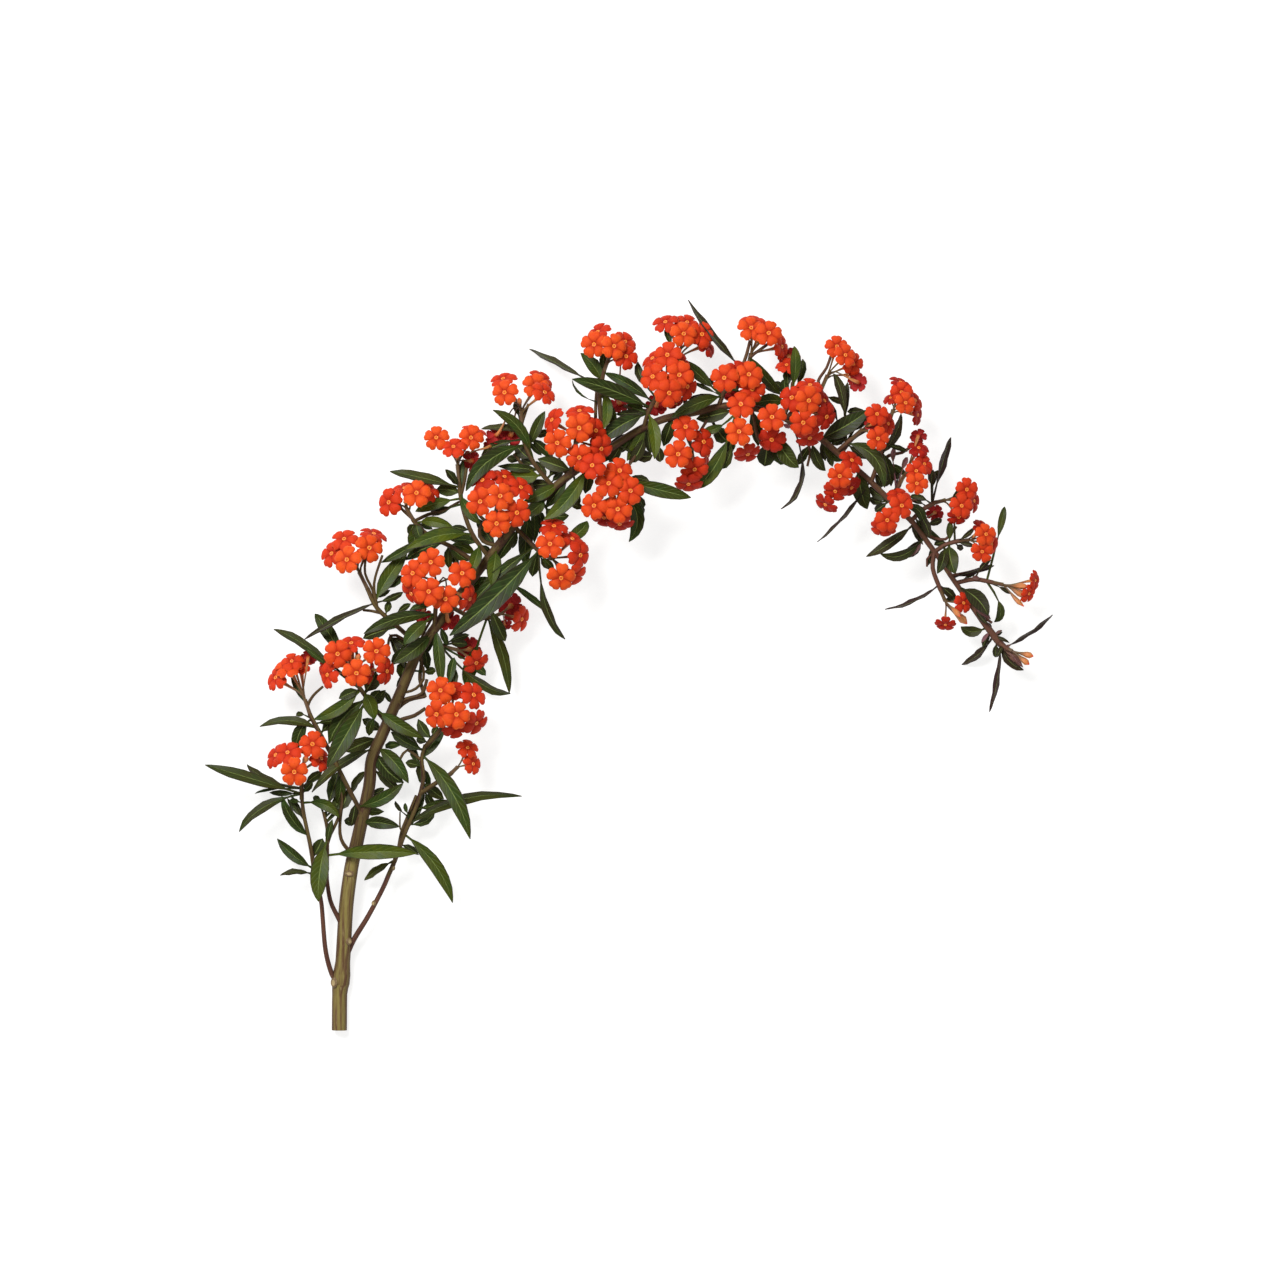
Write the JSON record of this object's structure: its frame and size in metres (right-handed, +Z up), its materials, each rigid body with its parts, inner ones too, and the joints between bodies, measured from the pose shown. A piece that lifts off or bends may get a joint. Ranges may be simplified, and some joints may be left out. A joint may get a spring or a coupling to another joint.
{
  "type": "cut spurge flower spray",
  "caption": "Arching cut spray of scarlet plume spurge lying flat: woody stem, narrow leaves and heads of five-lobed orange-red florets.",
  "frame": {"origin": "on the surface that the spray lies on, under the middle of its outline seen from above", "axes": "+Z up from the surface, +X from the foot's side toward the hanging tip, +Y from the cut end toward the top of the arch"},
  "size_m": [0.4665, 0.402, 0.058],
  "materials": {
    "bark": "matte olive-brown bark of a young woody stem, with purple-brown streaks",
    "leaf": "satin dark green leaf with a pale midrib, and green-brown young stem",
    "petal": "soft matte orange-red petal with an orange ring round its throat"
  },
  "bodies": {
    "root": {"bloom_01": "petal", "bloom_02": "petal", "bloom_03": "petal", "bloom_04": "petal", "bloom_05": "petal", "bloom_06": "petal", "bloom_07": "petal", "bloom_08": "petal", "bloom_09": "petal", "bloom_10": "petal", "bloom_11": "petal", "bloom_12": "petal", "bloom_13": "petal", "bloom_14": "petal", "bloom_15": "petal", "bloom_16": "petal", "bloom_17": "petal", "bloom_18": "petal", "bloom_19": "petal", "bloom_20": "petal", "bloom_21": "petal", "bloom_22": "petal", "bloom_23": "petal", "bloom_24": "petal", "bloom_25": "petal", "bloom_26": "petal", "bloom_27": "petal", "bloom_28": "petal", "bloom_29": "petal", "bloom_30": "petal", "bloom_31": "petal", "bloom_32": "petal", "bloom_33": "petal", "bloom_34": "petal", "bloom_35": "petal", "bloom_36": "petal", "bloom_37": "petal", "bloom_38": "petal", "leafy_stem_1": "leaf", "leafy_stem_2": "leaf", "leafy_stem_3": "leaf", "leafy_stem_4": "leaf", "leafy_stem_5": "leaf", "leafy_stem_6": "leaf", "leafy_stem_7": "leaf", "leafy_stem_8": "leaf", "leafy_stem_9": "leaf", "leafy_twig_left": "leaf", "leafy_twig_middle": "leaf", "leafy_twig_right": "leaf", "woody_stem": "bark"}
  },
  "joints": []
}
